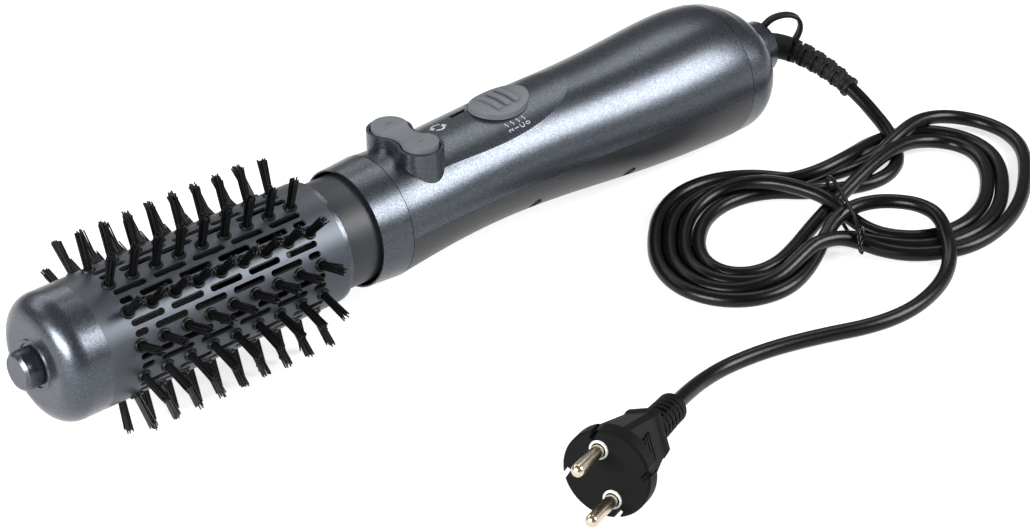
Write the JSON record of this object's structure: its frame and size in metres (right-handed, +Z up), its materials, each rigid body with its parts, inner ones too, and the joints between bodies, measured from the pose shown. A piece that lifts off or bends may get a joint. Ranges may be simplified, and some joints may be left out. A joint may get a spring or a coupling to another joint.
{
  "type": "hot air brush",
  "caption": "Rotating hot air brush with a bristled perforated barrel, waisted handle with rocker and slide switch, swivel mains cord and round-pin plug.",
  "frame": {"origin": "on the surface the brush lies on, under the middle of the brush's own bounding box (cord left out)", "axes": "+X from the tip towards the tail, level; +Z up; +Y completes a right-handed frame, so the cord and plug lie on the -Y side"},
  "size_m": [0.4556, 0.2231, 0.0826],
  "materials": {
    "graphite_paint": "fine metallic satin paint, graphite grey",
    "barrel_metal": "satin coated",
    "neck_plastic": "dark satin",
    "switch_plastic": "fine matt grain",
    "bristle_nylon": "semi-gloss black nylon",
    "black_plastic": "moulded black",
    "steel": "plain",
    "brass": "plain",
    "nickel": "polished nickel plate",
    "board_laminate": "glass-fibre board",
    "mica": "pressed mica",
    "heating_wire": "nickel-chrome wire",
    "cord_pvc": "semi-gloss black PVC",
    "white_plastic": "white"
  },
  "bodies": {
    "cord_set": {"swivel_core": "black_plastic", "slip_rings": "brass", "hang_loop": "cord_pvc", "strain_relief": "cord_pvc", "cord_lead": "cord_pvc", "cord_hank": "cord_pvc", "cord_tie": "cord_pvc", "cord_tail": "cord_pvc", "plug_body": "black_plastic", "plug_pins": "nickel", "plug_pin_collars": "white_plastic"},
    "handle": {"front_collar": "graphite_paint", "bearing_spider": "black_plastic", "shaft_bush": "brass", "upper_shell": "graphite_paint", "lower_shell": "graphite_paint", "rear_cap": "graphite_paint", "intake_screen": "steel", "shell_screws": "steel", "rocker_pin": "steel", "rocker_switches": "black_plastic", "control_board": "board_laminate", "slide_switch": "black_plastic", "heater_duct": "steel", "heater_frame": "mica", "heater_coils": "heating_wire", "thermal_cutout": "black_plastic", "gear_motor": "steel", "motor_mount": "black_plastic", "fan_shroud": "black_plastic", "fan_motor": "steel", "contact_board": "board_laminate", "swivel_contacts": "brass"},
    "barrel": {"barrel_tube": "barrel_metal", "bristle_row_01": "bristle_nylon", "bristle_row_02": "bristle_nylon", "bristle_row_03": "bristle_nylon", "bristle_row_04": "bristle_nylon", "bristle_row_05": "bristle_nylon", "bristle_row_06": "bristle_nylon", "bristle_row_07": "bristle_nylon", "bristle_row_08": "bristle_nylon", "bristle_row_09": "bristle_nylon", "bristle_row_10": "bristle_nylon", "bristle_row_11": "bristle_nylon", "bristle_row_12": "bristle_nylon", "end_cap": "graphite_paint", "front_hub": "black_plastic", "tip_pin": "steel", "rear_ring": "graphite_paint", "neck_sleeve": "neck_plastic", "drive_hub": "black_plastic", "drive_shaft": "steel"},
    "tip": {"tip_knob": "graphite_paint"},
    "rocker": {"rocker": "switch_plastic"},
    "slide_knob": {"slide_knob": "switch_plastic", "slider_catch": "black_plastic"},
    "fan": {"fan_impeller": "black_plastic", "fan_shaft": "steel"}
  },
  "joints": [
    {"name": "cord_swivel", "type": "hinge", "parent": "cord_set", "child": "handle", "pos_m": [0.19159, 0, 0.02883], "axis": [0.9992, 0, -0.0409], "continuous": true},
    {"name": "barrel_spin", "type": "hinge", "parent": "handle", "child": "barrel", "pos_m": [-0.05938, 0, 0.03909], "axis": [0.9992, 0, -0.0409], "continuous": true},
    {"name": "tip_spin", "type": "hinge", "parent": "barrel", "child": "tip", "pos_m": [-0.18877, 0, 0.04439], "axis": [0.9992, 0, -0.0409], "continuous": true},
    {"name": "rocker_tilt", "type": "hinge", "parent": "handle", "child": "rocker", "pos_m": [-0.00915, 0, 0.06066], "axis": [0.9992, 0, -0.0409], "range_deg": [-4.5, 4.5], "stiffness_Nm_per_rad": 0.03},
    {"name": "slide_travel", "type": "slide", "parent": "handle", "child": "slide_knob", "axis": [-0.9999, 0, -0.0106], "range_m": [0, 0.0075]},
    {"name": "fan_spin", "type": "hinge", "parent": "handle", "child": "fan", "pos_m": [0.14195, 0, 0.03086], "axis": [0.9992, 0, -0.0409], "continuous": true}
  ]
}
